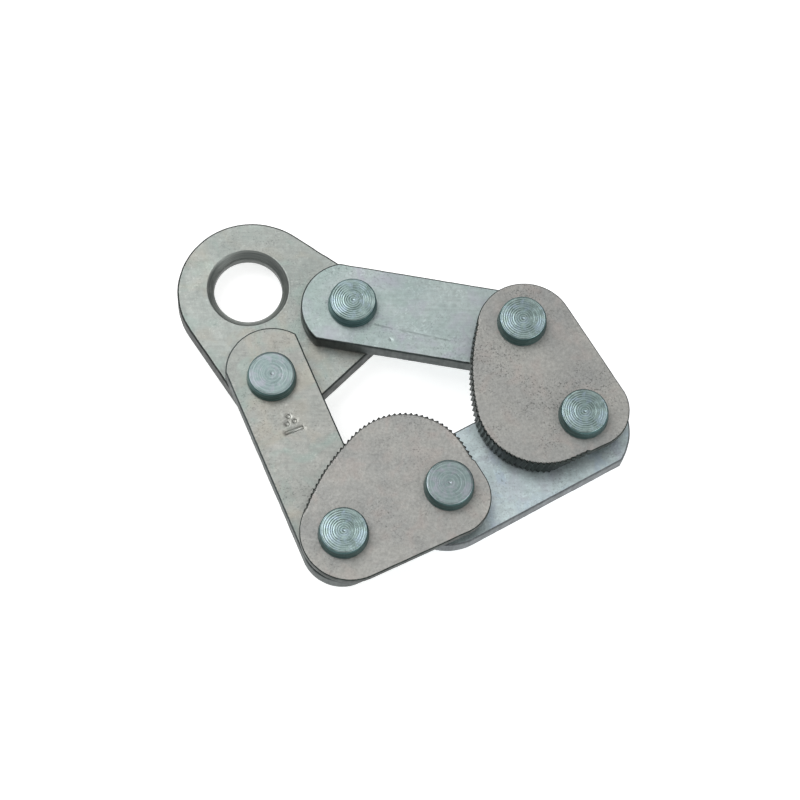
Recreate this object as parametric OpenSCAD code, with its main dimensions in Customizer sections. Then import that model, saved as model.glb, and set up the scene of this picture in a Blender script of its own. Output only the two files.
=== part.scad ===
// Double cam wire rope grip: a pulling eye plate, two draw links, two toothed cams and a base link,
// riveted into one closed chain. The rope lies on the base link, between the toothed sides of the cams.
// The origin is the centre of the pulling eye. The plates lie flat, in layers along Z.

/* [Chain] */
// Distance between the two cam rivets on the base link
base_pitch = 54; // [52:0.5:58]
// Distance between the two rivets of a cam
cam_pitch = 40; // [38:0.5:42]
// Distance between the two rivets of the upper link
upper_pitch = 60; // [58:0.5:62]
// Distance between the two rivets of the left link
left_pitch = 64.5; // [63:0.5:67]
// Distance between the two link rivets of the eye plate
plate_pitch = 40; // [38:0.5:42]
// Distance from the eye centre to the line through the two link rivets
eye_reach = 32.5; // [30:0.5:36]

/* [Pose] */
// Direction of the base link, from its lower rivet to its upper one
base_angle = 29.3; // [25:0.1:35]
// Direction of the upper cam, from its base rivet to its link rivet
upper_cam_angle = 120.9; // [118:0.1:124]
// Direction of the lower cam, from its base rivet to its link rivet
lower_cam_angle = 205.6; // [200:0.1:210]
// Direction of the upper link, from its cam rivet to its eye rivet
upper_link_angle = 170.7; // [168:0.1:174]

/* [Plates] */
// Thickness of the eye plate
eye_t = 8; // [6:0.5:10]
// Thickness of the two draw links and the base link
link_t = 7; // [5:0.5:9]
// Width of the upper link
upper_w = 30; // [26:0.5:32]
// Width of the left link
left_w = 28.5; // [26:0.5:32]
// Radius of the upper link's eye end
upper_end_r = 16.9; // [15.5:0.1:19]
// Place of that round's centre along the link, from the eye rivet
upper_end_x = -1.3; // [-3:0.1:0]
// Place of that round's centre across the link
upper_end_y = -0.9; // [-2:0.1:2]
// Radius of the left link's eye end
left_end_r = 16.5; // [15.5:0.1:19]
// Place of that round's centre along the link, from the eye rivet
left_end_x = -2.3; // [-3:0.1:0]
// Place of that round's centre across the link
left_end_y = 1.2; // [-2:0.1:2]
// Width of the base link
base_w = 37; // [32:0.5:39]
// Radius of the base link's upper end, which is flatter than its lower one
base_end_r = 21; // [19:0.5:24]
// How far the base link reaches past its upper rivet
base_overhang = 17; // [15:0.5:18]
// Depth of the punched mark on the left link
mark_depth = 0.4; // [0.1:0.1:1]
// Outer radius of the eye
eye_r = 26.8; // [24:0.1:28]
// How far the outer round's centre lies from the bore's, towards the links
eye_shift = 2.1; // [0:0.1:3]
// Radius of the eye's bore
eye_bore_r = 12.2; // [10:0.1:14]
// Chamfer on both rims of the bore
eye_chamfer = 2.4; // [0.5:0.1:3]
// Radius of the eye plate's two shoulders
shoulder_r = 13.4; // [10:0.1:14]
// How far the shoulders stand beyond the rivets, away from the eye
shoulder_shift = 1.8; // [0:0.1:4]

/* [Cams] */
// Thickness of a cam
cam_t = 8.5; // [6:0.5:10]
// Thickness of the upper part of a cam, which has the full outline
face_t = 3; // [2:0.5:5]
// How far the nose, back and heel are set back below that
relief = 2; // [0.5:0.1:2.5]
// How far round the belly the set back begins before its end, in degrees
relief_lead = 25; // [5:1:40]
// Radius of the toothed belly
belly_r = 24; // [22:0.1:25]
// Place of the belly's centre along the cam, from the base rivet
belly_x = 12; // [10:0.1:13]
// Place of the belly's centre across the cam, towards the rope
belly_y = 9; // [8:0.1:11]
// Radius of the toothed flank between the belly and the nose
flank_r = 75; // [60:1:120]
// Radius of the nose, at the link rivet
nose_r = 17.3; // [16:0.1:18]
// Place of the nose's centre along the cam, from the base rivet
nose_x = 37.5; // [36:0.1:40]
// Radius of the heel, at the base rivet
heel_r = 14.1; // [12:0.1:15]
// Place of the heel's centre along the cam, from the base rivet
heel_x = 1; // [0:0.1:2]
// Distance from the rivet line to the cam's flat back
cam_back = 17.4; // [16.5:0.1:18]
// Spacing of the teeth
tooth_pitch = 1.95; // [1.4:0.05:3]
// Depth of the teeth
tooth_depth = 0.65; // [0.3:0.05:1.2]
// Share of a tooth's pitch that its long slope takes
tooth_lean = 0.65; // [0.5:0.05:0.8]
// Smooth stretch between the nose and the first tooth
tooth_margin = 2.5; // [2:0.5:8]
// Smooth stretch between the last tooth and the heel
heel_margin = 7; // [2:0.5:12]

/* [Rivets] */
// Diameter of a rivet's shank
shank_d = 10; // [8:0.5:12]
// Diameter of a rivet's head at its foot
head_d = 17.6; // [15:0.1:19]
// Diameter of a rivet's head at its top face
head_top_d = 16.6; // [14:0.1:18]
// Height of a rivet's head
head_h = 4.7; // [3:0.1:6]
// Height of the peened tail under its washer
tail_h = 2.2; // [1:0.1:3]
// Diameter of the peened tail
tail_d = 14; // [12:0.5:16]
// Diameter of a tail washer
washer_d = 18; // [16:0.5:20]
// Thickness of a tail washer
washer_t = 1.5; // [1:0.1:2]

/* [Fits] */
// Radial clearance of a shank in its holes
shank_play = 0.05; // [0.02:0.01:0.1]
// Radial clearance of the upper eye rivet in the eye plate, where the chain closes
loop_play = 0.35; // [0.3:0.05:1.2]
// Air between two plates that turn on each other
layer_gap = 0.15; // [0.1:0.05:0.3]

/* [Hidden] */
$fn = 96;

// A cut runs past a face by this much
over = 1;

// Bright zinc plating on plates, cams and rivets
plate_colour = [0.62, 0.70, 0.68];
cam_colour = [0.58, 0.61, 0.59];
rivet_colour = [0.50, 0.64, 0.61];

function dir(angle) = [cos(angle), sin(angle)];
function heading(from, to) = atan2(to[1] - from[1], to[0] - from[0]);

// The point at distances r1 from c1 and r2 from c2, to the right of the way from c1 to c2
function meet(c1, r1, c2, r2) =
    let (gap = norm(c2 - c1), along = (r1 * r1 - r2 * r2 + gap * gap) / (2 * gap))
    let (across = sqrt(r1 * r1 - along * along), turn = heading(c1, c2))
    c1 + along * dir(turn) + across * dir(turn - 90);

// The chain, first laid out from the base link's lower rivet
loose_base_upper = base_pitch * dir(base_angle);
loose_left_link = cam_pitch * dir(lower_cam_angle);
loose_upper_link = loose_base_upper + cam_pitch * dir(upper_cam_angle);
loose_eye_upper = loose_upper_link + upper_pitch * dir(upper_link_angle);
loose_eye_left = meet(loose_eye_upper, plate_pitch, loose_left_link, left_pitch);
plate_angle = heading(loose_eye_left, loose_eye_upper);
loose_eye = (loose_eye_upper + loose_eye_left) / 2 + eye_reach * dir(plate_angle + 90);

// The same rivets, measured from the eye
base_lower = -loose_eye;
base_upper = loose_base_upper - loose_eye;
left_end = loose_left_link - loose_eye;
upper_end = loose_upper_link - loose_eye;
eye_upper = loose_eye_upper - loose_eye;
eye_left = loose_eye_left - loose_eye;

// Layers, from the underside of the eye plate up
eye_z = -eye_t / 2;
link_z = eye_t / 2 + layer_gap;
link_top = link_z + link_t;
cam_z = link_top + layer_gap;
cam_top = cam_z + cam_t;

// Radius of the holes that the shanks turn in
hole_r = shank_d / 2 + shank_play;

// Points of a round stretch, one every few degrees
arc_step = 3;
function arc(centre, r, from, to) =
    let (steps = ceil((to - from) / arc_step))
    [for (i = [0 : steps]) centre + r * dir(from + (to - from) * i / steps)];

// Normal of the outer tangent on the right of the way from circle 1 to circle 2
function tangent_normal(c1, r1, c2, r2) =
    heading(c1, c2) - acos((r1 - r2) / norm(c2 - c1));

// A cam in its own axes: base rivet at the origin, link rivet on +X, rope on the +Y side
heel = [heel_x, heel_r - cam_back];
belly = [belly_x, belly_y];
nose = [nose_x, nose_r - cam_back];
flank = meet(belly, flank_r - belly_r, nose, flank_r - nose_r);

// Its toothed side: a slightly round flank, the belly, and a short straight down to the heel
nose_normal = heading(flank, nose);
belly_normal = heading(flank, belly);
back_normal = 360 + tangent_normal(belly, belly_r, heel, heel_r);
flank_len = flank_r * (belly_normal - nose_normal) * PI / 180;
belly_len = belly_r * (back_normal - belly_normal) * PI / 180;
back_start = belly + belly_r * dir(back_normal);
back_len = norm(heel + heel_r * dir(back_normal) - back_start);
rim_len = flank_len + belly_len + back_len;
tooth_count = floor((rim_len - tooth_margin - heel_margin) / tooth_pitch);
teeth_end = tooth_margin + tooth_count * tooth_pitch;

// A point of the toothed side, s along it from the nose and h proud of it
function flank_point(s, h) = flank + (flank_r + h) * dir(nose_normal + s / flank_r * 180 / PI);
function belly_point(s, h) = belly + (belly_r + h) * dir(belly_normal + s / belly_r * 180 / PI);
function back_point(s, h) = back_start + s * dir(back_normal + 90) + h * dir(back_normal);
function rim(s, h) =
    s < flank_len ? flank_point(s, h)
    : s < flank_len + belly_len ? belly_point(s - flank_len, h)
    : back_point(s - flank_len - belly_len, h);

// A straight hole through a layer
module hole(x, y, r, t) {
    translate([x, y, -over]) cylinder(r = r, h = t + 2 * over);
}

// Lays its children along the way from one rivet to another, at height z
module along(from, to, z) {
    translate([from[0], from[1], z]) rotate([0, 0, heading(from, to)]) children();
}

// The end of a bar: the part of a round that the bar's width leaves
module bar_end(centre, r, w) {
    intersection() {
        translate(centre) circle(r);
        translate([centre[0] - r - over, -w / 2]) square([r * 2 + 2 * over, w]);
    }
}

// Eye plate in its own axes: the eye at the origin, the link rivets beyond it on +X
module eye_outline() {
    eye = [eye_shift, 0];
    left_shoulder = [eye_reach + shoulder_shift, -plate_pitch / 2];
    right_shoulder = [eye_reach + shoulder_shift, plate_pitch / 2];
    side_normal = -tangent_normal(eye, eye_r, left_shoulder, shoulder_r);
    polygon(concat(
        arc(left_shoulder, shoulder_r, -side_normal, 0),
        arc(right_shoulder, shoulder_r, 0, side_normal),
        arc(eye, eye_r, side_normal, 360 - side_normal)
    ));
}

// Half a bore's chamfer, from a face down
module rim_cone(z, up) {
    flare = eye_chamfer + over;
    translate([0, 0, up ? z - eye_chamfer : z - over])
        cylinder(
            r1 = up ? eye_bore_r : eye_bore_r + flare,
            r2 = up ? eye_bore_r + flare : eye_bore_r,
            h = flare
        );
}

module eye_plate() {
    color(plate_colour)
    along([0, 0], (eye_upper + eye_left) / 2, eye_z)
    difference() {
        linear_extrude(eye_t) eye_outline();
        hole(0, 0, eye_bore_r, eye_t);
        rim_cone(eye_t, true);
        rim_cone(0, false);
        hole(eye_reach, plate_pitch / 2, shank_d / 2 + loop_play, eye_t);
        hole(eye_reach, -plate_pitch / 2, hole_r, eye_t);
    }
}

// A draw link in its own axes: the eye rivet at the origin, the cam rivet on +X
module draw_link(pitch, w, end_r, end_centre) {
    difference() {
        linear_extrude(link_t) {
            bar_end(end_centre, end_r, w);
            translate([0, -w / 2]) square([pitch, w]);
            translate([pitch, 0]) circle(w / 2);
        }
        hole(0, 0, hole_r, link_t);
        hole(pitch, 0, hole_r, link_t);
    }
}

module upper_link() {
    color(plate_colour)
    along(eye_upper, upper_end, link_z)
    draw_link(upper_pitch, upper_w, upper_end_r, [upper_end_x, upper_end_y]);
}

// Inspector's punch: three dots in a triangle over a short bar
module punch_mark() {
    dot_r = 0.9;
    dot_gap = 3.2;
    bar_size = [7, 1.4];
    for (turn = [90, 210, 330]) {
        translate(dot_gap / 2 * dir(turn)) circle(dot_r);
    }
    translate([-bar_size[0] / 2, -dot_gap - bar_size[1]]) square(bar_size);
}

module left_link() {
    mark_x = 17;
    color(plate_colour)
    along(eye_left, left_end, link_z)
    difference() {
        draw_link(left_pitch, left_w, left_end_r, [left_end_x, left_end_y]);
        translate([mark_x, 0, link_t - mark_depth]) rotate([0, 0, 90])
            linear_extrude(mark_depth + over) punch_mark();
    }
}

module base_link() {
    end_x = base_pitch + base_overhang - base_end_r;
    color(plate_colour)
    along(base_lower, base_upper, link_z)
    difference() {
        linear_extrude(link_t) {
            circle(base_w / 2);
            translate([0, -base_w / 2]) square([end_x, base_w]);
            bar_end([end_x, 0], base_end_r, base_w);
        }
        hole(0, 0, hole_r, link_t);
        hole(base_pitch, 0, hole_r, link_t);
    }
}

// Outline of a cam: round nose, saw teeth round the belly, round heel and a flat back
module cam_outline() {
    heel_steps = 6;
    gullet_s = (1 - tooth_lean) * tooth_pitch;
    saw = [
        for (i = [0 : tooth_count - 1], gullet = [false, true])
        let (s = tooth_margin + i * tooth_pitch)
        gullet ? rim(s + gullet_s, -tooth_depth) : rim(s, 0)
    ];
    polygon(concat(
        arc(nose, nose_r, -90, nose_normal),
        saw,
        [for (step = [0 : heel_steps])
            rim(teeth_end + (rim_len - teeth_end) * step / heel_steps, 0)],
        arc(heel, heel_r, back_normal, 270)
    ));
}

// The same with its smooth sides set back; the toothed side keeps its place until near the heel
module relieved_outline() {
    intersection() {
        cam_outline();
        polygon(concat(
            arc(nose, nose_r - relief, -90, nose_normal),
            arc(flank, flank_r + over, nose_normal, belly_normal),
            arc(belly, belly_r + over, belly_normal, back_normal - relief_lead),
            arc(heel, heel_r - relief, back_normal, 270)
        ));
    }
}

module cam() {
    difference() {
        union() {
            linear_extrude(cam_t) relieved_outline();
            translate([0, 0, cam_t - face_t]) linear_extrude(face_t) cam_outline();
        }
        hole(0, 0, hole_r, cam_t);
        hole(cam_pitch, 0, hole_r, cam_t);
    }
}

module upper_cam() {
    color(cam_colour)
    along(base_upper, upper_end, cam_z) cam();
}

module lower_cam() {
    color(cam_colour)
    along(base_lower, left_end, cam_z) mirror([0, 1, 0]) cam();
}

// A rivet: turned head on the plate below it, shank, and a tail peened over its washer
module rivet(place, head_z, washer_z) {
    head_round = 0.5;
    tail_edge = 0.9;
    shank_r = shank_d / 2;
    tail_z = washer_z - washer_t;
    color(rivet_colour)
    translate([place[0], place[1], 0])
    rotate_extrude()
    polygon([
        [0, tail_z - tail_h],
        [tail_d / 2 - 2 * tail_edge, tail_z - tail_h],
        [tail_d / 2, tail_z - tail_edge],
        [tail_d / 2, tail_z],
        [shank_r, tail_z],
        [shank_r, head_z],
        [head_d / 2, head_z],
        [head_top_d / 2, head_z + head_h - head_round],
        [head_top_d / 2 - head_round, head_z + head_h],
        [0, head_z + head_h]
    ]);
}

module washer(place, top_z) {
    color(rivet_colour)
    translate([place[0], place[1], top_z - washer_t])
    difference() {
        cylinder(d = washer_d, h = washer_t);
        hole(0, 0, hole_r, washer_t);
    }
}

// Tails stand under the eye plate at the eye, and under the links and base link elsewhere
eye_washer_z = eye_z - layer_gap;
cam_washer_z = link_z - layer_gap;

module eye_upper_rivet() { rivet(eye_upper, link_top, eye_washer_z); }
module eye_left_rivet() { rivet(eye_left, link_top, eye_washer_z); }
module upper_link_rivet() { rivet(upper_end, cam_top, cam_washer_z); }
module left_link_rivet() { rivet(left_end, cam_top, cam_washer_z); }
module base_lower_rivet() { rivet(base_lower, cam_top, cam_washer_z); }
module base_upper_rivet() { rivet(base_upper, cam_top, cam_washer_z); }
module eye_upper_washer() { washer(eye_upper, eye_washer_z); }
module eye_left_washer() { washer(eye_left, eye_washer_z); }
module upper_link_washer() { washer(upper_end, cam_washer_z); }
module left_link_washer() { washer(left_end, cam_washer_z); }
module base_lower_washer() { washer(base_lower, cam_washer_z); }
module base_upper_washer() { washer(base_upper, cam_washer_z); }

eye_plate();
upper_link();
left_link();
base_link();
upper_cam();
lower_cam();
eye_upper_rivet();
eye_left_rivet();
upper_link_rivet();
left_link_rivet();
base_lower_rivet();
base_upper_rivet();
eye_upper_washer();
eye_left_washer();
upper_link_washer();
left_link_washer();
base_lower_washer();
base_upper_washer();
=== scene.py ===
"""Looks of a double cam wire rope grip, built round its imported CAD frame.

Places and heights are taken from the frame's boxes, in millimetres. The meshes are made in metres.
"""

import math

import bmesh
import bpy
import numpy as np
from mathutils import Matrix, Vector, noise
from mathutils.geometry import delaunay_2d_cdt


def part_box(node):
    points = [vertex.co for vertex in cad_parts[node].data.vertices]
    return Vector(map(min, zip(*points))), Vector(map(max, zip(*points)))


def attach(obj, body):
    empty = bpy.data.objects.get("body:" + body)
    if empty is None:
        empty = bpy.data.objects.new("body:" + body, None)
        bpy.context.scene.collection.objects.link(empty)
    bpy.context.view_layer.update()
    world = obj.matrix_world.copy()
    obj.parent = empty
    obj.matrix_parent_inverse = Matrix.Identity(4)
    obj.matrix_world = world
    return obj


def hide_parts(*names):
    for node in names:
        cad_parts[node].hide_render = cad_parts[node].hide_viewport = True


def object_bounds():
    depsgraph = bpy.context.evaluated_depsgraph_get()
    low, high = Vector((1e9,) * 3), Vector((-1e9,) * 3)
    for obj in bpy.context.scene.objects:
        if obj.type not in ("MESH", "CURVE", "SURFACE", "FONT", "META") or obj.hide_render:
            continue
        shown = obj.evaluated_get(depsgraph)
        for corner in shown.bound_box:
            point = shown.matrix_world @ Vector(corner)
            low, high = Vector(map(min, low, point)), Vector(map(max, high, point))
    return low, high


MM = 0.001

noise.seed_set(1)  # otherwise noise_vector starts from the clock and differs each run

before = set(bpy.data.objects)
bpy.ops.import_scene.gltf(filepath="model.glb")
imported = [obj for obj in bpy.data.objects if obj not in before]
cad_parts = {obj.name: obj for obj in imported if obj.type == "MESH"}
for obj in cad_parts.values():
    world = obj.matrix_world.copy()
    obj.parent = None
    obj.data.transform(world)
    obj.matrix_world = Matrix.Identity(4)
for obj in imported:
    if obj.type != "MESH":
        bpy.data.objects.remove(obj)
cad_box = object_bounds()


# ---------------------------------------------------------------- places taken from the frame


def box_mm(node):
    low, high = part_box(node)
    return low / MM, high / MM


def centre_of(node):
    low, high = box_mm(node)
    return ((low + high) / 2).to_2d()


def levels_of(node):
    low, high = box_mm(node)
    return low.z, high.z


EYE = Vector((0.0, 0.0))
EYE_UPPER = centre_of("eye_upper_rivet")
EYE_LEFT = centre_of("eye_left_rivet")
UPPER_PIN = centre_of("upper_link_rivet")
LEFT_PIN = centre_of("left_link_rivet")
BASE_LOWER = centre_of("base_lower_rivet")
BASE_UPPER = centre_of("base_upper_rivet")
PLATE_MIDDLE = (EYE_UPPER + EYE_LEFT) / 2

BASE_PITCH = (BASE_UPPER - BASE_LOWER).length
UPPER_PITCH = (UPPER_PIN - EYE_UPPER).length
LEFT_PITCH = (LEFT_PIN - EYE_LEFT).length
PLATE_PITCH = (EYE_UPPER - EYE_LEFT).length
EYE_REACH = PLATE_MIDDLE.length

# Sizes of the outlines, as in the CAD source
EYE_R, EYE_SHIFT, EYE_BORE_R, EYE_CHAMFER = 26.8, 2.1, 12.2, 2.4
SHOULDER_R, SHOULDER_SHIFT = 13.4, 1.8
UPPER_W, UPPER_END, UPPER_END_R = 30.0, Vector((-1.3, -0.9)), 16.9
LEFT_W, LEFT_END, LEFT_END_R = 28.5, Vector((-2.3, 1.2)), 16.5
BASE_W, BASE_END_R, BASE_OVERHANG = 37.0, 21.0, 17.0
FACE_T, RELIEF, RELIEF_LEAD, CAM_BACK = 3.0, 2.0, 25.0, 17.4
BELLY, BELLY_R, FLANK_R = Vector((12.0, 9.0)), 24.0, 75.0
NOSE_R, HEEL_R = 17.3, 14.1
NOSE, HEEL = Vector((37.5, NOSE_R - CAM_BACK)), Vector((1.0, HEEL_R - CAM_BACK))
TOOTH_PITCH, TOOTH_DEPTH, TOOTH_LEAN, TOOTH_MARGIN, HEEL_MARGIN = 1.95, 0.65, 0.65, 2.5, 7.0
TOOTH_LAND, GULLET_HALF, RIM_END = 0.14, 0.1, 0.2
TOOTH_SLANT = 0.14  # how far a tooth runs along the rim for each millimetre of height
RELIEF_RISE = 1.0  # how far outside the belly the relief's straight cut starts
HOLE_R, LOOP_HOLE_R = 5.05, 5.35
MARK_X, MARK_DEPTH = 17.0, 0.4

# ---------------------------------------------------------------- outlines, in a piece's own axes

SKIN = 0.01  # the meshes stay this much inside the CAD outlines


def towards(angle):
    return Vector((math.cos(math.radians(angle)), math.sin(math.radians(angle))))


def heading(start, end):
    return math.degrees(math.atan2(end.y - start.y, end.x - start.x))


def arc(centre, r, start, end, step=1.5):
    count = math.ceil((end - start) / step)
    return [centre + r * towards(start + (end - start) * i / count) for i in range(count + 1)]


def circle(centre, r, count=96):
    return [centre + r * towards(360 * i / count) for i in range(count)]


def tangent_normal(c1, r1, c2, r2):
    """Normal of the outer tangent on the right of the way from circle 1 to circle 2."""
    return heading(c1, c2) - math.degrees(math.acos((r1 - r2) / (c2 - c1).length))


def meet(c1, r1, c2, r2):
    """The point at distances r1 from c1 and r2 from c2, to the right of the way from c1 to c2."""
    gap = (c2 - c1).length
    along = (r1 * r1 - r2 * r2 + gap * gap) / (2 * gap)
    turn = heading(c1, c2)
    return c1 + along * towards(turn) + math.sqrt(r1 * r1 - along * along) * towards(turn - 90)


def eye_outline():
    eye = Vector((EYE_SHIFT, 0))
    left = Vector((EYE_REACH + SHOULDER_SHIFT, -PLATE_PITCH / 2))
    right = Vector((EYE_REACH + SHOULDER_SHIFT, PLATE_PITCH / 2))
    side = -tangent_normal(eye, EYE_R, left, SHOULDER_R)
    shoulders = arc(left, SHOULDER_R, -side, 0) + arc(right, SHOULDER_R, 0, side)
    return shoulders + arc(eye, EYE_R, side, 360 - side)


def link_outline(pitch, width, end, end_r):
    upper = math.degrees(math.asin((width / 2 - end.y) / end_r))
    lower = math.degrees(math.asin((width / 2 + end.y) / end_r))
    return arc(end, end_r, 180 - upper, 180 + lower) + arc(Vector((pitch, 0)), width / 2, -90, 90)


def base_outline():
    end = Vector((BASE_PITCH + BASE_OVERHANG - BASE_END_R, 0))
    spread = math.degrees(math.asin(BASE_W / 2 / BASE_END_R))
    return arc(Vector((0, 0)), BASE_W / 2, 90, 270) + arc(end, BASE_END_R, -spread, spread)


def cam_outline(below, shift):
    """One level of a cam, with its teeth moved along the rim by shift.

    Below the face the smooth sides are set back.
    """
    flank = meet(BELLY, FLANK_R - BELLY_R, NOSE, FLANK_R - NOSE_R)
    nose_normal, belly_normal = heading(flank, NOSE), heading(flank, BELLY)
    back_normal = 360 + tangent_normal(BELLY, BELLY_R, HEEL, HEEL_R)
    flank_len = FLANK_R * math.radians(belly_normal - nose_normal)
    belly_len = BELLY_R * math.radians(back_normal - belly_normal)
    back_start = BELLY + BELLY_R * towards(back_normal)
    back_len = (HEEL + HEEL_R * towards(back_normal) - back_start).length
    whole = flank_len + belly_len + back_len

    def rim(s, proud):
        if s < flank_len:
            return flank + (FLANK_R + proud) * towards(nose_normal + math.degrees(s / FLANK_R))
        if s < flank_len + belly_len:
            return BELLY + (BELLY_R + proud) * towards(belly_normal + math.degrees((s - flank_len) / BELLY_R))
        s -= flank_len + belly_len
        return back_start + s * towards(back_normal + 90) + proud * towards(back_normal)

    count = math.floor((whole - TOOTH_MARGIN - HEEL_MARGIN) / TOOTH_PITCH)
    saw = [rim(RIM_END, 0)]
    for i in range(count):
        s = TOOTH_MARGIN + i * TOOTH_PITCH + shift
        gullet = s + (1 - TOOTH_LEAN) * TOOTH_PITCH
        saw += [rim(s, 0), rim(s + TOOTH_LAND, 0)]
        saw += [rim(gullet - GULLET_HALF, -TOOTH_DEPTH), rim(gullet + GULLET_HALF, -TOOTH_DEPTH)]
    end = TOOTH_MARGIN + count * TOOTH_PITCH + shift
    saw += [rim(end + (whole - RIM_END - end) * k / 8, 0) for k in range(9)]
    back = RELIEF if below else 0.0
    if below:
        start = BELLY + (BELLY_R + RELIEF_RISE) * towards(back_normal - RELIEF_LEAD)
        way = (HEEL + (HEEL_R - RELIEF) * towards(back_normal) - start).normalized()

        def set_back(p):
            off = p - start
            return start + way * way.dot(off) if p.x < BELLY.x and way.cross(off) < 0 else p

        saw = [set_back(p) for p in saw]
    back_line = [Vector((HEEL.x + (NOSE.x - HEEL.x) * k / 48, back - CAM_BACK)) for k in range(1, 48)]
    nose = arc(NOSE, NOSE_R - back, -90, nose_normal)
    return nose + saw + arc(HEEL, HEEL_R - back, back_normal, 270) + back_line


def laid(points, start, end, flipped=False):
    """Points in a piece's own axes, turned and moved to run from start towards end."""
    turn = Matrix.Rotation(math.radians(heading(start, end)), 2)
    own = [Vector((p.x, -p.y)) for p in reversed(points)] if flipped else points
    return [start + turn @ p for p in own]


def split_long(loop, gap):
    """The loop with points added, so that no two neighbours are much further apart than gap."""
    out = []
    for i, p in enumerate(loop):
        q = loop[(i + 1) % len(loop)]
        count = max(1, math.ceil((q - p).length / gap - 0.01))
        out += [p.lerp(q, k / count) for k in range(count)]
    return out


def dedupe(loop):
    """The loop without points that repeat the one before."""
    return [p for i, p in enumerate(loop) if (p - loop[i - 1]).length > 1e-4]


def inset(loop, depth):
    """The loop moved inwards, for a loop that runs anticlockwise."""
    out = []
    for i, p in enumerate(loop):
        a = (p - loop[i - 1]).normalized()
        b = (loop[(i + 1) % len(loop)] - p).normalized()
        na, nb = Vector((-a.y, a.x)), Vector((-b.y, b.x))
        middle = (na + nb).normalized()
        out.append(p + middle * (depth / max(middle.dot(na), 0.6)))
    return out


# ---------------------------------------------------------------- plate meshes

CAP_GAP = 0.95  # distance between the points of a cap
CAP_STRIP = 0.22  # width of the flat strip that joins a cap to its rounded edge
WAVE_DEPTH, PIT_DEPTH, LEAST_DENT = 0.035, 0.02, 0.004


def rounded(r, steps=4):
    """(inset, drop) of each ring of a rounded edge, from the cap down to the wall."""
    turns = [math.pi / 2 * i / steps for i in range(steps + 1)]
    return [(r * (1 - math.sin(t)), r * (1 - math.cos(t))) for t in turns]


def chamfered(size):
    """(inset, drop) of each ring of a chamfer with softened lips."""
    slope = [(size * (1 - k / 6), size * k / 6) for k in range(1, 6)]
    return [(size + 0.12, 0.0), (size + 0.02, 0.05)] + slope + [(0.10, size - 0.05), (0.02, size + 0.1)]


def torn(p, z):
    """The unevenness of a sheared side at a place, from 0 to 1, drawn out through the thickness."""
    return abs(noise.noise(Vector((p.x * 1.1, p.y * 1.1, z * 0.22))))


def inside(points, loop):
    """Which of the points lie in the loop, by counting crossings."""
    x, y = points[:, 0:1], points[:, 1:2]
    a = np.array([p[:] for p in loop])
    b = np.roll(a, -1, 0)
    crossing = (a[:, 1] > y) != (b[:, 1] > y)
    rise = np.where(b[:, 1] == a[:, 1], 1e-9, b[:, 1] - a[:, 1])
    return (crossing & (x < (b[:, 0] - a[:, 0]) * (y - a[:, 1]) / rise + a[:, 0])).sum(1) % 2 == 1


def clearance(points, loop):
    """Distance of each point from the loop."""
    a = np.array([p[:] for p in loop])
    d = np.roll(a, -1, 0) - a
    away = points[:, None] - a
    t = np.clip((away * d).sum(2) / np.maximum((d * d).sum(1), 1e-12), 0, 1)
    return np.sqrt(((away - t[..., None] * d) ** 2).sum(2)).min(1)


def spread_points(loop, gap, keep_off, others):
    """A grid of shaken points that covers the loop but keeps off its rim and off the other loops."""
    corners = np.array([p[:] for p in loop])
    low, high = corners.min(0), corners.max(0)
    rows = np.arange(low[1], high[1], gap * 0.87)
    grid = []
    for row, y in enumerate(rows):
        for x in np.arange(low[0] + (row % 2) * gap / 2, high[0], gap):
            shake = noise.noise_vector(Vector((x, y, 7.0)) * 1.7) * gap * 0.25
            grid.append((x + shake.x, y + shake.y))
    grid = np.array(grid)
    grid = grid[inside(grid, loop)]
    grid = grid[clearance(grid, loop) > keep_off]
    for other in others:
        grid = grid[~inside(grid, other)]
        grid = grid[clearance(grid, other) > keep_off]
    return [Vector(p) for p in grid]


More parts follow.
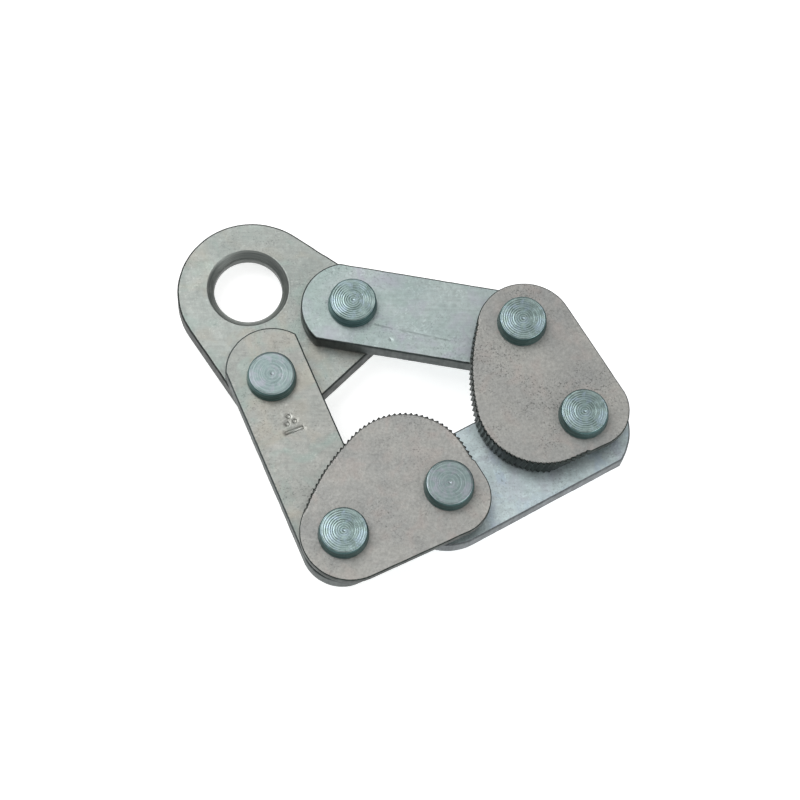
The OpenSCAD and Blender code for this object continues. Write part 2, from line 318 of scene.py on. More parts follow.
class PlateMesh:
    """One plate: rings round its outline and its holes, and caps that have enough points to be dented."""

    def __init__(self, low, high, wear, seed):
        self.bm = bmesh.new()
        self.low, self.high = low, high
        self.wear, self.seed = wear, seed
        self.rims = {True: [], False: []}  # by cap, the rings that bound it, as (vertices, loop, hole)

    def ring(self, loop, z):
        return [self.bm.verts.new((p.x, p.y, z)) for p in loop]

    def bridge(self, a, b, material):
        for i in range(len(a)):
            j = (i + 1) % len(a)
            face = self.bm.faces.new((a[i], a[j], b[j], b[i]))
            face.material_index = material

    def nick(self, p, z):
        """How far wear takes the edge in at a place."""
        dent = noise.noise(Vector((p.x, p.y, z * 0.5)) * 0.23 + Vector((0, 0, self.seed)))
        fine = noise.noise(Vector((p.x, p.y, z)) * 1.3 + Vector((self.seed, 0, 0)))
        return self.wear * (max(0.0, dent - 0.12) * 1.6 + max(0.0, fine) * 0.35)

    def walls(self, loop_at, hole, profile, rows, rough, material=lambda z: 1):
        """Rings from the top cap down to the bottom cap, round the outline or a hole.

        loop_at(z) is the loop at a height, profile the edge's (inset, drop) pairs, rows the shares of the
        wall where rings lie, rough the depth of its unevenness, and material(z) a band's material slot.
        """
        sign = -1 if hole else 1
        top = [(profile[0][0] + CAP_STRIP, 0.0)] + profile
        wall_low, wall_high = self.low + profile[-1][1], self.high - profile[-1][1]
        rings = [(i, self.high - d, k > 0) for k, (i, d) in enumerate(top)]
        rings += [(profile[-1][0], wall_high + (wall_low - wall_high) * share, True) for share in rows]
        rings += [(i, self.low + d, k > 0) for k, (i, d) in reversed(list(enumerate(top)))]
        made = []
        for depth, z, worn in rings:
            loop = loop_at(z)
            moved = inset(loop, sign * (depth + SKIN))
            if worn and not hole:
                inward = inset(loop, 1.0)
                lost = [self.nick(o, z) + rough * torn(o, z) for o in loop]
                moved = [p + (q - o) * depth for p, o, q, depth in zip(moved, loop, inward, lost)]
            made.append((self.ring(moved, z), moved))
        for k in range(len(made) - 1):
            upper, lower = made[k][0], made[k + 1][0]
            flat = k in (0, len(made) - 2)
            side = 0 if flat else material(made[k + 1][0][0].co.z)
            if hole:
                self.bridge(upper, lower, side)
            else:
                self.bridge(lower, upper, side)
        self.rims[True].append((made[0][0], made[0][1], hole))
        self.rims[False].append((made[-1][0], made[-1][1], hole))

    def pocket(self, loop, depth):
        """A punched pocket in the top, with soft lips."""
        steps = ((0.0, 0.0), (0.07, 0.05), (0.16, depth * 0.7), (0.3, depth))  # (inset, drop)
        rings = [self.ring(inset(loop, inwards), self.high - drop) for inwards, drop in steps]
        for a, b in zip(rings, rings[1:]):
            self.bridge(a, b, 0)
        self.bm.faces.new(rings[-1])
        self.rims[True].append((rings[0], loop, True))

    def cap(self, top, dent, extra=()):
        """Closes one side.

        dent(p) is how deep the surface lies under its plane, and extra is a list of (points, more depth).
        """
        rims = self.rims[top]
        outer = next(r for r in rims if not r[2])
        holes = [r for r in rims if r[2]]
        z = self.high if top else self.low
        sign = -1 if top else 1
        coords, known, edges, depths = [], [], [], {}
        for verts, loop, _ in [outer] + holes:
            start = len(coords)
            coords += loop
            known += verts
            edges += [(start + i, start + (i + 1) % len(loop)) for i in range(len(loop))]
        free = spread_points(outer[1], CAP_GAP, CAP_GAP * 0.45, [h[1] for h in holes])
        cut = [p for line, _ in extra for p in line]
        if cut:
            marks = np.array([p[:] for p in cut])
            free = [p for p in free if np.hypot(*(marks - np.array(p[:])).T).min() > CAP_GAP * 0.5]
        coords += free
        for line, depth in extra:
            for p in line:
                depths[len(coords)] = depth
                coords.append(p)
        found = delaunay_2d_cdt(coords, edges, [list(range(len(outer[1])))], 1, 1e-6)
        verts = []
        for place, sources in zip(found[0], found[3]):
            source = sources[0] if sources else None
            if source is not None and source < len(known):
                verts.append(known[source])
            else:
                drop = dent(place) + depths.get(source, 0.0)
                verts.append(self.bm.verts.new((place.x, place.y, z + sign * drop)))
        middles = np.array([sum((found[0][i] for i in f), Vector((0, 0))) / len(f) for f in found[2]])
        gone = np.zeros(len(middles), bool)
        for hole in holes:
            gone |= inside(middles, hole[1])
        for face, dropped in zip(found[2], gone):
            if not dropped:
                order = face if top else reversed(face)
                self.bm.faces.new([verts[i] for i in order])

    def finish(self, name, materials):
        bmesh.ops.recalc_face_normals(self.bm, faces=self.bm.faces)
        bmesh.ops.scale(self.bm, vec=(MM, MM, MM), verts=self.bm.verts)
        return made_object(name, self.bm, materials)


def made_object(name, bm, materials, place=(0, 0, 0)):
    mesh = bpy.data.meshes.new(name)
    bm.to_mesh(mesh)
    bm.free()
    mesh.shade_smooth()
    for material in materials:
        mesh.materials.append(material)
    obj = bpy.data.objects.new(name, mesh)
    obj.location = place
    bpy.context.scene.collection.objects.link(obj)
    return obj


def waves(seed):
    """A rolled surface: slow waves and small pits, in millimetres under the plane."""

    def dent(p):
        at = Vector((p.x, p.y, seed))
        slow = noise.noise(at * 0.07) * 0.5 + 0.5
        small = abs(noise.noise(at * 0.6 + Vector((3, 9, 1))))
        return LEAST_DENT + WAVE_DEPTH * slow + PIT_DEPTH * small

    return dent


def scratch(start, end, bow, depth, width=0.16, gap=0.35):
    """Three rows of points for a scored line: two lips and the bottom."""
    along = end - start
    side = Vector((-along.y, along.x)).normalized()
    count = max(2, round(along.length / gap))
    rows = {-1: [], 0: [], 1: []}
    for i in range(count + 1):
        t = i / count
        middle = start + along * t + side * bow * 4 * t * (1 - t)
        for k in rows:
            rows[k].append(middle + side * width * k)
    return [(rows[-1], 0.0), (rows[0], depth), (rows[1], 0.0)]


# ---------------------------------------------------------------- lathe meshes

TURN_STEPS = 144


def lathe(name, profile, place, materials, parts, wobble, seed):
    """Turns (radius, height) points round a vertical axis. parts gives each band's material slot."""
    bm = bmesh.new()
    rings = []
    for r, z in profile:
        if r < 1e-6:
            rings.append([bm.verts.new((0, 0, z * MM))])
            continue
        ring = []
        for i in range(TURN_STEPS):
            turn = 2 * math.pi * i / TURN_STEPS
            at = Vector((math.cos(turn) * r, math.sin(turn) * r, z))
            own = r - wobble * abs(noise.noise(at * 0.45 + Vector((seed, 0, 0))))
            ring.append(bm.verts.new((own * math.cos(turn) * MM, own * math.sin(turn) * MM, z * MM)))
        rings.append(ring)
    for k in range(len(rings) - 1):
        a, b = rings[k], rings[k + 1]
        for i in range(TURN_STEPS):
            j = (i + 1) % TURN_STEPS
            corners = [a[i % len(a)], a[j % len(a)], b[j % len(b)], b[i % len(b)]]
            face = bm.faces.new(list(dict.fromkeys(corners)))
            face.material_index = parts[k]
    bmesh.ops.recalc_face_normals(bm, faces=bm.faces)
    return made_object(name, bm, materials, (place.x * MM, place.y * MM, 0))


# ---------------------------------------------------------------- materials


class Nodes:
    """Short names for the steps of building a material's node tree."""

    def __init__(self, name):
        self.material = bpy.data.materials.new(name)
        self.material.use_nodes = True
        self.tree = self.material.node_tree
        self.shader = self.tree.nodes["Principled BSDF"]
        self.coords = self.tree.nodes.new("ShaderNodeTexCoord").outputs["Object"]

    def node(self, kind, **settings):
        made = self.tree.nodes.new(kind)
        for key, value in settings.items():
            setattr(made, key, value)
        return made

    def link(self, source, target):
        self.tree.links.new(source, target)

    def stretched(self, x, y, z):
        mapping = self.node("ShaderNodeMapping")
        mapping.inputs["Scale"].default_value = (x, y, z)
        self.link(self.coords, mapping.inputs["Vector"])
        return mapping.outputs["Vector"]

    def noise(self, scale, detail=3.0, rough=0.55, vector=None, distortion=0.0):
        made = self.node("ShaderNodeTexNoise")
        made.inputs["Scale"].default_value = scale
        made.inputs["Detail"].default_value = detail
        made.inputs["Roughness"].default_value = rough
        made.inputs["Distortion"].default_value = distortion
        self.link(vector or self.coords, made.inputs["Vector"])
        return made.outputs["Fac"]

    def ramp(self, fac, *stops):
        made = self.node("ShaderNodeValToRGB")
        items = made.color_ramp.elements
        while len(items) < len(stops):
            items.new(0.5)
        for item, (at, value) in zip(items, stops):
            item.position = at
            item.color = (*value, 1) if isinstance(value, tuple) else (value, value, value, 1)
        self.link(fac, made.inputs["Fac"])
        return made.outputs["Color"]

    def mix(self, fac, a, b, blend="MIX"):
        made = self.node("ShaderNodeMix", data_type="RGBA", blend_type=blend)
        for value, socket in ((fac, made.inputs["Factor"]), (a, made.inputs["A"]), (b, made.inputs["B"])):
            if hasattr(value, "is_output"):
                self.link(value, socket)
            else:
                socket.default_value = value if isinstance(value, float) else (*value, 1)
        return made.outputs["Result"]

    def bump(self, height, distance, strength=1.0, normal=None):
        made = self.node("ShaderNodeBump")
        made.inputs["Strength"].default_value = strength
        made.inputs["Distance"].default_value = distance
        self.link(height, made.inputs["Height"])
        if normal:
            self.link(normal, made.inputs["Normal"])
        return made.outputs["Normal"]

    def finish(self, colour, roughness, normal=None, metallic=1.0):
        self.link(colour, self.shader.inputs["Base Color"])
        self.link(roughness, self.shader.inputs["Roughness"])
        if normal:
            self.link(normal, self.shader.inputs["Normal"])
        self.shader.inputs["Metallic"].default_value = metallic
        return self.material


def stained(n, colour, scale, stain, strength):
    """Soft patches of another tone, as the passivating bath leaves them."""
    patch = n.ramp(n.noise(scale, 3, 0.5, distortion=1.3), (0.50, 0.0), (0.68, strength))
    return n.mix(patch, colour, stain)


def speckled(n, colour, scale, cluster, tone, strength):
    """Fine specks that gather in places."""
    where = n.ramp(n.noise(cluster, 3, 0.6), (0.42, 0.12), (0.66, 1.0))
    specks = n.ramp(n.noise(scale, 3, 0.6), (0.54, 0.0), (0.67, strength))
    return n.mix(n.mix(1.0, specks, where, "MULTIPLY"), colour, tone)


def zinc_face(name, light, dark, stain, second):
    """Bright zinc on rolled bar: soft clouds, fine mottling, rolling streaks and faint stains."""
    n = Nodes(name)
    clouds = n.ramp(n.noise(45, 5, 0.62, distortion=0.6), (0.32, dark), (0.68, light))
    colour = n.mix(1.0, clouds, n.ramp(n.noise(520, 4, 0.7), (0.30, 0.86), (0.70, 1.10)), "MULTIPLY")
    streaks = n.ramp(n.noise(1.0, 3, 0.6, n.stretched(90, 1100, 90)), (0.32, 0.93), (0.68, 1.06))
    colour = n.mix(1.0, colour, streaks, "MULTIPLY")
    colour = stained(n, colour, 85, stain, 0.42)
    colour = stained(n, colour, 62, second, 0.36)
    colour = speckled(n, colour, 1500, 70, tuple(c * 0.35 for c in dark), 0.55)
    colour = speckled(n, colour, 1300, 110, tuple(c * 1.5 for c in light), 0.45)
    rough = n.ramp(n.noise(160, 3, 0.6), (0.3, 0.38), (0.7, 0.52))
    relief = n.bump(n.noise(900, 3, 0.6), 0.00005, 0.6)
    relief = n.bump(n.noise(230, 2, 0.5), 0.00010, 0.35, relief)
    return n.finish(colour, rough, relief)


def zinc_rim(name, light, dark):
    """The sheared side of a plate, streaked through its thickness and given dark colours as painted shade."""
    n = Nodes(name)
    streaks = n.noise(1.0, 4, 0.65, n.stretched(900, 900, 90))
    colour = n.ramp(streaks, (0.18, dark), (0.86, light))
    colour = n.mix(n.ramp(n.noise(140, 3, 0.6), (0.45, 0.0), (0.75, 0.4)), colour, dark)
    rough = n.ramp(n.noise(300, 3, 0.6), (0.3, 0.42), (0.7, 0.58))
    return n.finish(colour, rough, n.bump(streaks, 0.00007, 0.5))


def cam_face(name, light, dark, stain, specks):
    """Zinc over a shot blasted forging: even grey with a fine grain, faint warm blotches and dark pits."""
    n = Nodes(name)
    clouds = n.ramp(n.noise(50, 4, 0.6, distortion=0.4), (0.30, dark), (0.70, light))
    grain = n.noise(1050, 4, 0.75)
    colour = n.mix(1.0, clouds, n.ramp(grain, (0.30, 0.80), (0.70, 1.15)), "MULTIPLY")
    colour = stained(n, colour, 100, stain, 0.30)
    colour = speckled(n, colour, 1700, 85, tuple(c * 0.25 for c in dark), specks)
    rough = n.ramp(n.noise(260, 3, 0.6), (0.3, 0.48), (0.7, 0.62))
    relief = n.bump(grain, 0.00009, 0.8)
    relief = n.bump(n.noise(380, 2, 0.5), 0.00012, 0.35, relief)
    return n.finish(colour, rough, relief)


def turned_face(name, light, dark, stain, ring_strength, spacing=0.8):
    """The flat of a rivet head, on which the tool's rings change the tone as well as the height."""
    n = Nodes(name)
    length = n.node("ShaderNodeVectorMath", operation="LENGTH")
    flat = n.stretched(1, 1, 0)
    n.link(flat, length.inputs[0])
    scaled = n.node("ShaderNodeMath", operation="MULTIPLY")
    scaled.inputs[1].default_value = 2 * math.pi / (spacing * MM)
    n.link(length.outputs["Value"], scaled.inputs[0])
    wave = n.node("ShaderNodeMath", operation="SINE")
    n.link(scaled.outputs[0], wave.inputs[0])
    rings = n.ramp(wave.outputs[0], (0.0, 1.0 - ring_strength), (1.0, 1.0))
    rings = n.mix(n.ramp(n.noise(260, 2, 0.5), (0.40, 0.0), (0.62, 0.75)), rings, (0.92, 0.92, 0.92))
    clouds = n.ramp(n.noise(170, 4, 0.6, distortion=0.8), (0.32, dark), (0.68, light))
    colour = n.mix(1.0, clouds, rings, "MULTIPLY")
    colour = stained(n, colour, 240, stain, 0.45)
    colour = speckled(n, colour, 1700, 300, tuple(c * 0.4 for c in dark), 0.4)
    rough = n.ramp(n.noise(500, 3, 0.6), (0.3, 0.30), (0.7, 0.42))
    return n.finish(colour, rough, n.bump(n.noise(1600, 2, 0.5), 0.00003, 0.4))


def turned_side(name, light, dark):
    """The side of a rivet head or tail, a bore or a chamfer: rings round it, in the tones it is given; the
    dark tones of head, tail and bore sides are painted shade.
    """
    n = Nodes(name)
    bands = n.noise(1.0, 3, 0.6, n.stretched(60, 60, 2600))
    colour = n.ramp(bands, (0.30, dark), (0.70, light))
    rough = n.ramp(n.noise(400, 3, 0.6), (0.3, 0.34), (0.7, 0.48))
    return n.finish(colour, rough, n.bump(bands, 0.00004, 0.5))


LILAC, BLUE = (0.47, 0.44, 0.54), (0.45, 0.56, 0.70)
OCHRE, GREEN = (0.46, 0.41, 0.33), (0.33, 0.44, 0.40)
EYE_FACE = zinc_face("zinc_eye_plate", (0.43, 0.45, 0.425), (0.345, 0.38, 0.36), GREEN, OCHRE)
UPPER_FACE = zinc_face("zinc_upper_link", (0.48, 0.545, 0.535), (0.385, 0.47, 0.465), LILAC, GREEN)
LEFT_FACE = zinc_face("zinc_left_link", (0.42, 0.425, 0.40), (0.335, 0.36, 0.34), GREEN, OCHRE)
BASE_FACE = zinc_face("zinc_base_link", (0.62, 0.71, 0.72), (0.51, 0.61, 0.62), BLUE, LILAC)
# The dark colours of the plates' sides are painted shade, darker still on the eye plate's side.
EYE_RIM_PAINTED_SHADE = zinc_rim("zinc_eye_plate_side_painted_shade", (0.078, 0.084, 0.08), (0.026, 0.03, 0.029))
PLATE_RIM_PAINTED_SHADE = zinc_rim("zinc_sheared_side_painted_shade", (0.115, 0.13, 0.127), (0.05, 0.06, 0.058))
BASE_RIM_PAINTED_SHADE = zinc_rim("zinc_base_link_side_painted_shade", (0.24, 0.26, 0.27), (0.09, 0.10, 0.105))
CAM_LIGHT, CAM_DARK = (0.48, 0.475, 0.445), (0.38, 0.385, 0.375)
CAM_STAIN = (0.50, 0.42, 0.39)
LOWER_CAM_FACE = cam_face("zinc_lower_cam", CAM_LIGHT, CAM_DARK, CAM_STAIN, 0.5)
UPPER_CAM_FACE = cam_face("zinc_upper_cam", CAM_LIGHT, CAM_DARK, CAM_STAIN, 0.8)
# Painted shade: the cams' sides are given near black colours.
CAM_RIM_PAINTED_SHADE = zinc_rim("zinc_cam_side_painted_shade", (0.09, 0.105, 0.098), (0.012, 0.017, 0.015))
CHAMFER = turned_side("zinc_chamfer", (0.38, 0.40, 0.375), (0.20, 0.22, 0.21))
# Painted shade: the bore's wall is given dark colours.
BORE_SIDE_PAINTED_SHADE = turned_side("zinc_bore_painted_shade", (0.15, 0.16, 0.15), (0.055, 0.062, 0.06))
HEAD_FACE = turned_face("zinc_rivet_head", (0.48, 0.61, 0.59), (0.32, 0.445, 0.43), BLUE, 0.6)
HAZY_HEAD_FACE = turned_face(
    "zinc_hazy_rivet_head", (0.36, 0.45, 0.445), (0.275, 0.36, 0.36), LILAC, 0.22, 1.25
)
# Painted shade: the sides of the rivet heads, tails and washers are given dark colours.
HEAD_SIDE_PAINTED_SHADE = turned_side("zinc_rivet_side_painted_shade", (0.15, 0.25, 0.25), (0.045, 0.10, 0.10))
WASHER_FACE = turned_face("zinc_washer", (0.44, 0.50, 0.48), (0.34, 0.40, 0.39), OCHRE, 0.10)

# ---------------------------------------------------------------- the plates

SIDE_ROUGH = 0.05
BAR_EDGE, BAR_WEAR, CAM_EDGE, CAM_WEAR = 0.55, 0.09, 0.35, 0.08


def fixed(loop):
    """A loop that is the same at each height."""
    return lambda z: loop


def even(rows):
    """The shares of a wall where rings split it into equal rows."""
    return [(k + 1) / rows for k in range(rows - 1)]


def plate_piece(name, loop_at, rows, holes, edge, materials, slot, wear, seed, bore=(), pockets=(), marks=()):
    """One plate, which rides on the body of its own name."""
    low, high = levels_of(name)
    mesh = PlateMesh(low, high, wear, seed)
    mesh.walls(loop_at, False, rounded(edge), rows, SIDE_ROUGH)
    for centre, r in holes:
        mesh.walls(fixed(circle(centre, r, 64)), True, rounded(0.25, 2), even(2), 0.0)
    if bore:
        centre, r, size = bore
        loop = fixed(circle(centre, r, TURN_STEPS))
        mesh.walls(loop, True, chamfered(size), even(6), 0.0, lambda z: 2 if z > high - size else 3)
    for pocket in pockets:
        mesh.pocket(pocket, MARK_DEPTH)
    mesh.cap(True, waves(seed), marks)
    mesh.cap(False, waves(seed + 40))
    obj = mesh.finish("look_" + name, materials)
    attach(obj, name)
    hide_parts(name)


def bar_loop(outline, start, end):
    """A flat bar's outline, laid between two places."""
    return fixed(split_long(dedupe(laid(outline, start, end)), 0.6))


def cam_loop(name, start, end, flipped):
    """The cam's outline at each height, and the shares of the wall where its rings lie."""
    low, high = levels_of(name)
    middle, step = (low + high) / 2, high - FACE_T

    def loop_at(z):
        return laid(cam_outline(z < step, (z - middle) * TOOTH_SLANT), start, end, flipped)

    ledge = (FACE_T + 0.02 - CAM_EDGE) / (high - low - 2 * CAM_EDGE)
    rows = [ledge * 0.33, ledge * 0.67, ledge - 0.03 / (high - low), ledge]
    rows += [ledge + (1 - ledge) * k / 5 for k in range(1, 5)]
    return loop_at, rows


def punch_mark():
    """Three dots in a triangle over a short bar, across the left link."""
    dot_r, dots_r = 0.9, 1.6
    half, low, high, soft = 3.5, -4.6, -3.2, 0.25
    own = [circle(dots_r * towards(turn), dot_r, 28) for turn in (90, 210, 330)]
    bar = []
    for x, y, start in ((half, high, 0), (-half, high, 90), (-half, low, 180), (half, low, 270)):
        corner = Vector((x - math.copysign(soft, x), y - (soft if y == high else -soft)))
        bar += arc(corner, soft, start, start + 90, 30)
    own.append(split_long(dedupe(bar), 0.5))
    quarter = Matrix.Rotation(math.pi / 2, 2)
    return [laid([Vector((MARK_X, 0)) + quarter @ p for p in loop], EYE_LEFT, LEFT_PIN) for loop in own]


UPPER_AXIS = (UPPER_PIN - EYE_UPPER).normalized()
UPPER_SIDE = Vector((-UPPER_AXIS.y, UPPER_AXIS.x))


def on_upper_link(x, y):
    """A place x along the upper link from the eye's rivet, and y beside its middle line."""
    return EYE_UPPER + UPPER_AXIS * x + UPPER_SIDE * y


plate_piece(
    "eye_plate",
    bar_loop(eye_outline(), EYE, PLATE_MIDDLE),
    rows=even(6),
    holes=[(EYE_UPPER, LOOP_HOLE_R), (EYE_LEFT, HOLE_R)],
    edge=0.6,
    materials=[EYE_FACE, EYE_RIM_PAINTED_SHADE, CHAMFER, BORE_SIDE_PAINTED_SHADE],
    slot="plated_bar",
    wear=0.10,
    seed=3.0,
    bore=(EYE, EYE_BORE_R, EYE_CHAMFER),
)
plate_piece(
    "upper_link",
    bar_loop(link_outline(UPPER_PITCH, UPPER_W, UPPER_END, UPPER_END_R), EYE_UPPER, UPPER_PIN),
    rows=even(6),
    holes=[(EYE_UPPER, HOLE_R), (UPPER_PIN, HOLE_R)],
    edge=BAR_EDGE,
    materials=[UPPER_FACE, PLATE_RIM_PAINTED_SHADE],
    slot="plated_bar",
    wear=BAR_WEAR,
    seed=11.0,
    marks=scratch(on_upper_link(9.5, -5.8), on_upper_link(15, -6.2), 0.0, 0.07, 0.12)
    + scratch(on_upper_link(18, -6.4), on_upper_link(29, -6.9), 0.1, 0.06, 0.12)
    + scratch(on_upper_link(31, -7.0), on_upper_link(36, -7.2), 0.0, 0.05, 0.12)
    + scratch(on_upper_link(15.2, -10.4), on_upper_link(15.7, -10.8), 0.0, 0.08, 0.14),
)
plate_piece(
    "left_link",
    bar_loop(link_outline(LEFT_PITCH, LEFT_W, LEFT_END, LEFT_END_R), EYE_LEFT, LEFT_PIN),
    rows=even(6),
    holes=[(EYE_LEFT, HOLE_R), (LEFT_PIN, HOLE_R)],
    edge=BAR_EDGE,
    materials=[LEFT_FACE, PLATE_RIM_PAINTED_SHADE],
    slot="plated_bar",
    wear=BAR_WEAR,
    seed=19.0,
    pockets=punch_mark(),
)
plate_piece(
    "base_link",
    bar_loop(base_outline(), BASE_LOWER, BASE_UPPER),
    rows=even(6),
    holes=[(BASE_LOWER, HOLE_R), (BASE_UPPER, HOLE_R)],
    edge=BAR_EDGE,
    materials=[BASE_FACE, BASE_RIM_PAINTED_SHADE],
    slot="plated_bar",
    wear=BAR_WEAR,
    seed=27.0,
)
for name, start, end, flipped, face, seed in (
    ("upper_cam", BASE_UPPER, UPPER_PIN, False, UPPER_CAM_FACE, 35.0),
    ("lower_cam", BASE_LOWER, LEFT_PIN, True, LOWER_CAM_FACE, 43.0),
):
    plate_piece(
        name,
        *cam_loop(name, start, end, flipped),
        holes=[(start, HOLE_R), (end, HOLE_R)],
        edge=CAM_EDGE,
        materials=[face, CAM_RIM_PAINTED_SHADE],
        slot="cam_steel",
        wear=CAM_WEAR,
        seed=seed,
    )

# ---------------------------------------------------------------- rivets and washers

HEAD_R, HEAD_TOP_R, HEAD_H, HEAD_SOFT = 8.8, 8.3, 4.7, 0.75
SHANK_R, TAIL_R, TAIL_H, TAIL_EDGE = 5.0, 7.0, 2.2, 0.9
WASHER_R = 9.0
RING_SPACING = 0.8  # the tool marks' distance on a head
GROOVE_R, GROOVE_HALF = 3.75, 0.16  # one deeper groove round the middle of a head
CLEAR_RINGS, HAZY_RINGS = 0.05, 0.012  # the depth of the tool marks


def head_points(top, foot, rings):
    """(radius, height) points from the pip in a head's middle to the foot of its side."""
    flat_r = HEAD_TOP_R - HEAD_SOFT
    points = [(0.0, top - 0.16), (0.12, top - 0.16), (0.32, top - 0.10), (0.45, top - 0.03)]
    r = 0.55
    while r < flat_r:
        strength = rings * (0.35 + 0.65 * min(1.0, max(0.0, (r / flat_r - 0.35) * 3)))
        drop = strength * (0.5 - 0.5 * math.cos(2 * math.pi * r / RING_SPACING))
        groove = rings / 0.7 * math.exp(-(((r - GROOVE_R) / GROOVE_HALF) ** 2))
        points.append((r, top - drop - groove))
        r += 0.1
    for k in range(7):
        turn = math.pi / 2 * k / 6
        points.append((flat_r + HEAD_SOFT * math.sin(turn), top - 0.02 - HEAD_SOFT * (1 - math.cos(turn))))
    flat_bands = len(points) - 5
    side_top, side_low = top - HEAD_SOFT, foot + 0.25
    for k in range(1, 9):
        out, down = (HEAD_R - HEAD_TOP_R - SKIN) * k / 8, (side_low - side_top) * k / 8
        points.append((HEAD_TOP_R + out, side_top + down))
    return points + [(HEAD_R - 0.10, foot + 0.06), (HEAD_R - 0.3, foot)], flat_bands


def tail_points(low, seat):
    """(radius, height) points from the shank down over a peened tail to its middle."""
    side = [(TAIL_R - 0.25, seat), (TAIL_R - SKIN, seat - 0.2)]
    crown = [(TAIL_R - SKIN, seat - TAIL_EDGE + 0.1), (TAIL_R - 0.35, seat - TAIL_EDGE - 0.45)]
    for k in range(1, 15):
        share = k / 14
        crown.append(((TAIL_R - 0.6) * (1 - share), low + 0.55 * (1 - share) ** 2 + 0.01))
    return side, crown


def rivet_piece(name, body, place, face, rings, seed):
    low, high = levels_of(name)
    foot, seat = high - HEAD_H, low + TAIL_H
    head, flat_bands = head_points(high - 0.02, foot, rings)
    side, crown = tail_points(low, seat)
    walls = head + [(SHANK_R, foot), (SHANK_R, seat)] + side
    parts = [0] * flat_bands + [1] * (len(walls) - flat_bands) + [0] * (len(crown) - 1)
    obj = lathe("look_" + name, walls + crown, place, [face, HEAD_SIDE_PAINTED_SHADE], parts, 0.05, seed)
    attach(obj, body)
    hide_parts(name)


def washer_piece(name, body, place, seed):
    low, high = levels_of(name)
    outer, inner = WASHER_R - SKIN, HOLE_R
    ring = [(inner, high - 0.15), (inner + 0.15, high), (outer - 0.3, high), (outer - 0.09, high - 0.09)]
    ring += [(outer, high - 0.3), (outer, low + 0.25), (outer - 0.07, low + 0.07), (outer - 0.25, low)]
    ring += [(inner + 0.15, low), (inner, low + 0.15), (inner, high - 0.15)]
    parts = [0, 0, 0, 1, 1, 1, 0, 0, 0, 1]
    obj = lathe("look_" + name, ring, place, [WASHER_FACE, HEAD_SIDE_PAINTED_SHADE], parts, 0.04, seed)
    bm = bmesh.new()
    bm.from_mesh(obj.data)
    bmesh.ops.remove_doubles(bm, verts=bm.verts, dist=1e-7)  # the last ring lies on the first
    bm.to_mesh(obj.data)
    bm.free()
    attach(obj, body)
    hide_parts(name)


for number, (name, body, place, face, rings) in enumerate(
    (
        ("eye_upper", "upper_link", EYE_UPPER, HEAD_FACE, CLEAR_RINGS),
        ("eye_left", "left_link", EYE_LEFT, HAZY_HEAD_FACE, HAZY_RINGS),
        ("upper_link", "upper_cam", UPPER_PIN, HEAD_FACE, CLEAR_RINGS),
        ("left_link", "lower_cam", LEFT_PIN, HEAD_FACE, CLEAR_RINGS),
        ("base_lower", "lower_cam", BASE_LOWER, HAZY_HEAD_FACE, HAZY_RINGS),
        ("base_upper", "upper_cam", BASE_UPPER, HEAD_FACE, CLEAR_RINGS),
    ),
    1,
):
    rivet_piece(name + "_rivet", body, place, face, rings, number)
    washer_piece(name + "_washer", body, place, number + 5)

# ---------------------------------------------------------------- floor, light and camera

FLOOR_HALF, FLOOR_DROP, FLOOR_GLOW = 4.0, 0.0002, 0.62  # metres, metres, emission
LIT_PLACE = Vector((0.055, -0.045, 0.0))  # the middle of the chain, where the lights aim


def floor():
    bm = bmesh.new()
    bmesh.ops.create_grid(bm, x_segments=1, y_segments=1, size=FLOOR_HALF)
    n = Nodes("pale_floor")
    shade = n.ramp(n.noise(3, 2, 0.5), (0.0, (0.86, 0.86, 0.86)), (1.0, (0.88, 0.88, 0.88)))
    n.shader.inputs["Emission Color"].default_value = (1, 1, 1, 1)
    n.shader.inputs["Emission Strength"].default_value = FLOOR_GLOW
    n.finish(shade, n.ramp(n.noise(5, 2, 0.5), (0.0, 0.90), (1.0, 0.95)), metallic=0.0)
    obj = made_object("studio_floor", bm, [n.material], (0, 0, cad_box[0].z - FLOOR_DROP))


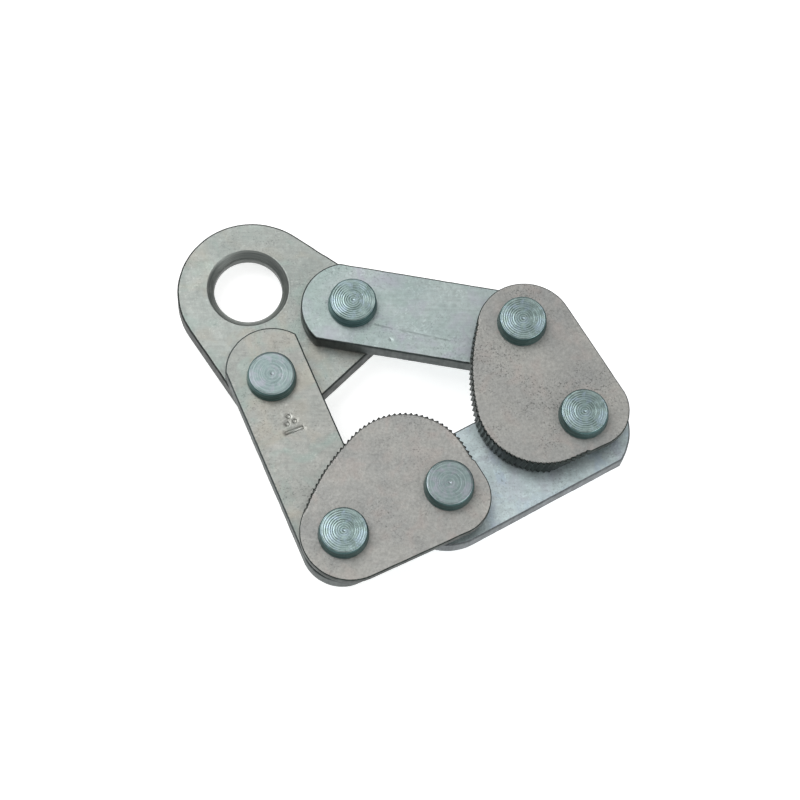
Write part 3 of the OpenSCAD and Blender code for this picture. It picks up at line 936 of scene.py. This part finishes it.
def studio_world():
    """White overhead, dim near the horizon, as in a light tent with an open front."""
    world = bpy.data.worlds.new("studio")
    world.use_nodes = True
    tree = world.node_tree
    back = tree.nodes["Background"]
    coords = tree.nodes.new("ShaderNodeTexCoord")
    split = tree.nodes.new("ShaderNodeSeparateXYZ")
    ramp = tree.nodes.new("ShaderNodeValToRGB")
    items = ramp.color_ramp.elements
    items[0].position, items[0].color = 0.0, (0.10, 0.10, 0.10, 1)
    items[1].position, items[1].color = 0.80, (0.62, 0.62, 0.62, 1)
    middle = items.new(0.45)
    middle.color = (0.34, 0.35, 0.36, 1)
    tree.links.new(coords.outputs["Generated"], split.inputs[0])
    tree.links.new(split.outputs["Z"], ramp.inputs["Fac"])
    tree.links.new(ramp.outputs["Color"], back.inputs["Color"])
    back.inputs["Strength"].default_value = 1.0
    bpy.context.scene.world = world


def softbox(name, place, size, power):
    light = bpy.data.lights.new(name, "AREA")
    light.shape = "RECTANGLE"
    light.size, light.size_y = size
    light.energy = power
    obj = bpy.data.objects.new(name, light)
    obj.location = place
    obj.rotation_mode = "QUATERNION"
    obj.rotation_quaternion = (LIT_PLACE - obj.location).to_track_quat("-Z", "Y")
    bpy.context.scene.collection.objects.link(obj)


def camera():
    """The photograph's view: nearly from above, a little from the near side."""
    tilt, azimuth, roll = math.radians(20.52), math.radians(-98.65), math.radians(0.128)
    target = Vector((54.13, -42.12, 4.0)) * MM
    distance = 0.8476
    data = bpy.data.cameras.new("photo_camera")
    data.sensor_width, data.lens = 36.0, 108.0
    data.clip_start, data.clip_end = 0.05, 20.0
    obj = bpy.data.objects.new("photo_camera", data)
    away = Vector((math.sin(tilt) * math.cos(azimuth), math.sin(tilt) * math.sin(azimuth), math.cos(tilt)))
    lean = Matrix.Rotation(tilt, 4, Vector((-math.sin(azimuth), math.cos(azimuth), 0)))
    obj.matrix_world = Matrix.Translation(target + away * distance) @ lean @ Matrix.Rotation(roll, 4, "Z")
    bpy.context.scene.collection.objects.link(obj)
    bpy.context.scene.camera = obj


bpy.context.scene.view_settings.view_transform = "Standard"
floor()
studio_world()
softbox("key_light", (-0.55, 0.35, 1.1), (0.9, 0.9), 6.5)
softbox("fill_light", (0.9, -0.5, 0.9), (0.8, 0.8), 3.0)
camera()

bpy.context.view_layer.update()
